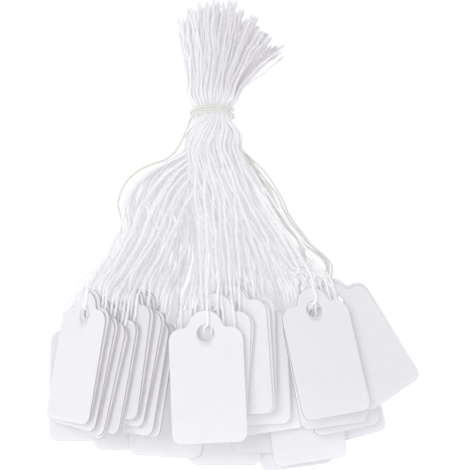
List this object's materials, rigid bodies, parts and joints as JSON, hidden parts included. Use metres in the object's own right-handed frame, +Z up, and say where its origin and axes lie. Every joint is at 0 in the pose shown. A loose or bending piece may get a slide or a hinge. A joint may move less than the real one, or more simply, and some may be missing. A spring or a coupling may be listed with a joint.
{
  "type": "strung price tag bundle",
  "caption": "Bundle of blank white card price tags, each on its own looped white string, with all strings wound together at a neck and fanned out beyond it.",
  "frame": {"origin": "centre of the bundle's bounding box, on the table that it lies on", "axes": "+X to the right across the tags, +Y from the tags to the strings' cut ends, +Z up from the table"},
  "size_m": [0.0662, 0.0856, 0.0168],
  "materials": {
    "card": "smooth white card, matt",
    "string": "white twisted cotton, matt",
    "binding": "ivory twisted cotton, matt"
  },
  "bodies": {
    "threads": {"thread_base_1": "string", "thread_base_2": "string", "thread_base_3": "string", "thread_base_4": "string", "thread_base_5": "string", "thread_base_6": "string", "thread_base_7": "string", "thread_base_8": "string", "thread_base_9": "string", "thread_left_1": "string", "thread_left_2": "string", "thread_left_3": "string", "thread_left_4": "string", "thread_left_5": "string", "thread_left_6": "string", "thread_left_7": "string", "thread_left_8": "string", "thread_middle_1": "string", "thread_middle_2": "string", "thread_middle_3": "string", "thread_middle_4": "string", "thread_middle_5": "string", "thread_middle_6": "string", "thread_middle_7": "string", "thread_right_1": "string", "thread_right_2": "string", "thread_right_3": "string", "thread_right_4": "string", "binding_thread": "binding"},
    "tag_base_1": {"tag_base_1": "card"},
    "tag_base_2": {"tag_base_2": "card"},
    "tag_base_3": {"tag_base_3": "card"},
    "tag_base_4": {"tag_base_4": "card"},
    "tag_base_5": {"tag_base_5": "card"},
    "tag_base_6": {"tag_base_6": "card"},
    "tag_base_7": {"tag_base_7": "card"},
    "tag_base_8": {"tag_base_8": "card"},
    "tag_base_9": {"tag_base_9": "card"},
    "tag_left_1": {"tag_left_1": "card"},
    "tag_left_2": {"tag_left_2": "card"},
    "tag_left_3": {"tag_left_3": "card"},
    "tag_left_4": {"tag_left_4": "card"},
    "tag_left_5": {"tag_left_5": "card"},
    "tag_left_6": {"tag_left_6": "card"},
    "tag_left_7": {"tag_left_7": "card"},
    "tag_left_8": {"tag_left_8": "card"},
    "tag_middle_1": {"tag_middle_1": "card"},
    "tag_middle_2": {"tag_middle_2": "card"},
    "tag_middle_3": {"tag_middle_3": "card"},
    "tag_middle_4": {"tag_middle_4": "card"},
    "tag_middle_5": {"tag_middle_5": "card"},
    "tag_middle_6": {"tag_middle_6": "card"},
    "tag_middle_7": {"tag_middle_7": "card"},
    "tag_right_1": {"tag_right_1": "card"},
    "tag_right_2": {"tag_right_2": "card"},
    "tag_right_3": {"tag_right_3": "card"},
    "tag_right_4": {"tag_right_4": "card"}
  },
  "joints": [
    {"name": "base_1_swing", "type": "hinge", "parent": "threads", "child": "tag_base_1", "pos_m": [-0.0268, -0.01844, 0.00142], "axis": [0, -0.061, 0.9981], "range_deg": [-8, 8]},
    {"name": "base_2_swing", "type": "hinge", "parent": "threads", "child": "tag_base_2", "pos_m": [-0.0187, -0.02029, 0.00283], "axis": [0, -0.0958, 0.9954], "range_deg": [-8, 8]},
    {"name": "base_3_swing", "type": "hinge", "parent": "threads", "child": "tag_base_3", "pos_m": [-0.0086, -0.02084, 0.00142], "axis": [0, -0.061, 0.9981], "range_deg": [-8, 8]},
    {"name": "base_4_swing", "type": "hinge", "parent": "threads", "child": "tag_base_4", "pos_m": [-0.0018, -0.02289, 0.00283], "axis": [0, -0.0958, 0.9954], "range_deg": [-8, 8]},
    {"name": "base_5_swing", "type": "hinge", "parent": "threads", "child": "tag_base_5", "pos_m": [0.00855, -0.02332, 0.00142], "axis": [0.0085, -0.0605, 0.9981], "range_deg": [-8, 8]},
    {"name": "base_6_swing", "type": "hinge", "parent": "threads", "child": "tag_base_6", "pos_m": [0.01608, -0.01884, 0.00283], "axis": [0.0248, -0.0926, 0.9954], "range_deg": [-8, 8]},
    {"name": "base_7_swing", "type": "hinge", "parent": "threads", "child": "tag_base_7", "pos_m": [0.006, -0.02096, 0.00429], "axis": [0, -0.1305, 0.9914], "range_deg": [-8, 8]},
    {"name": "base_8_swing", "type": "hinge", "parent": "threads", "child": "tag_base_8", "pos_m": [-0.01118, -0.02171, 0.00429], "axis": [-0.0091, -0.1302, 0.9914], "range_deg": [-4, 8]},
    {"name": "base_9_swing", "type": "hinge", "parent": "threads", "child": "tag_base_9", "pos_m": [0.01065, -0.02299, 0.00575], "axis": [0.0258, -0.163, 0.9863], "range_deg": [-6, 8]},
    {"name": "left_1_swing", "type": "hinge", "parent": "threads", "child": "tag_left_1", "pos_m": [-0.0264, -0.0166, 0.0112], "axis": [-0.7486, 0.0243, 0.6626], "range_deg": [0, 14]},
    {"name": "left_2_swing", "type": "hinge", "parent": "threads", "child": "tag_left_2", "pos_m": [-0.02476, -0.01763, 0.01083], "axis": [-0.7486, 0.0243, 0.6626], "range_deg": [0, 14]},
    {"name": "left_3_swing", "type": "hinge", "parent": "threads", "child": "tag_left_3", "pos_m": [-0.02292, -0.0183, 0.01066], "axis": [-0.7486, 0.0243, 0.6626], "range_deg": [0, 14]},
    {"name": "left_4_swing", "type": "hinge", "parent": "threads", "child": "tag_left_4", "pos_m": [-0.02109, -0.01815, 0.01046], "axis": [-0.7486, 0.0243, 0.6626], "range_deg": [0, 14]},
    {"name": "left_5_swing", "type": "hinge", "parent": "threads", "child": "tag_left_5", "pos_m": [-0.01879, -0.01589, 0.01071], "axis": [-0.7486, 0.0243, 0.6626], "range_deg": [0, 14]},
    {"name": "left_6_swing", "type": "hinge", "parent": "threads", "child": "tag_left_6", "pos_m": [-0.01667, -0.01687, 0.01089], "axis": [-0.7486, 0.0243, 0.6626], "range_deg": [0, 14]},
    {"name": "left_7_swing", "type": "hinge", "parent": "threads", "child": "tag_left_7", "pos_m": [-0.0155, -0.01836, 0.00999], "axis": [-0.7486, 0.0243, 0.6626], "range_deg": [0, 3]},
    {"name": "left_8_swing", "type": "hinge", "parent": "threads", "child": "tag_left_8", "pos_m": [-0.01448, -0.01857, 0.0089], "axis": [-0.7486, 0.0243, 0.6626], "range_deg": [0, 5]},
    {"name": "middle_1_swing", "type": "hinge", "parent": "threads", "child": "tag_middle_1", "pos_m": [-0.0051, -0.0207, 0.0151], "axis": [-0.0286, -0.1405, 0.9897], "range_deg": [-8, 14]},
    {"name": "middle_2_swing", "type": "hinge", "parent": "threads", "child": "tag_middle_2", "pos_m": [-0.00359, -0.01746, 0.01409], "axis": [-0.0286, -0.1405, 0.9897], "range_deg": [0, 14]},
    {"name": "middle_3_swing", "type": "hinge", "parent": "threads", "child": "tag_middle_3", "pos_m": [-0.00103, -0.01556, 0.01292], "axis": [-0.0286, -0.1405, 0.9897], "range_deg": [-14, 14]},
    {"name": "middle_4_swing", "type": "hinge", "parent": "threads", "child": "tag_middle_4", "pos_m": [0.00048, -0.01449, 0.01159], "axis": [-0.0286, -0.1405, 0.9897], "range_deg": [-14, 9]},
    {"name": "middle_5_swing", "type": "hinge", "parent": "threads", "child": "tag_middle_5", "pos_m": [0.00253, -0.01678, 0.00981], "axis": [-0.0286, -0.1405, 0.9897], "range_deg": [-14, 7]},
    {"name": "middle_6_swing", "type": "hinge", "parent": "threads", "child": "tag_middle_6", "pos_m": [0.00344, -0.01802, 0.00815], "axis": [-0.0286, -0.1405, 0.9897], "range_deg": [-14, 9]},
    {"name": "middle_7_swing", "type": "hinge", "parent": "threads", "child": "tag_middle_7", "pos_m": [-0.0027, -0.01816, 0.00644], "axis": [-0.0286, -0.1405, 0.9897], "range_deg": [-14, 1]},
    {"name": "right_1_swing", "type": "hinge", "parent": "threads", "child": "tag_right_1", "pos_m": [0.0139, -0.0159, 0.012], "axis": [0.3448, 0.023, 0.9384], "range_deg": [-14, 0]},
    {"name": "right_2_swing", "type": "hinge", "parent": "threads", "child": "tag_right_2", "pos_m": [0.01811, -0.01422, 0.00881], "axis": [0.3448, 0.023, 0.9384], "range_deg": [-14, 0]},
    {"name": "right_3_swing", "type": "hinge", "parent": "threads", "child": "tag_right_3", "pos_m": [0.01428, -0.01718, 0.0087], "axis": [0.3448, 0.023, 0.9384], "range_deg": [-14, 0]},
    {"name": "right_4_swing", "type": "hinge", "parent": "threads", "child": "tag_right_4", "pos_m": [0.01561, -0.01781, 0.00662], "axis": [0.3448, 0.023, 0.9384], "range_deg": [-12, 0]}
  ]
}
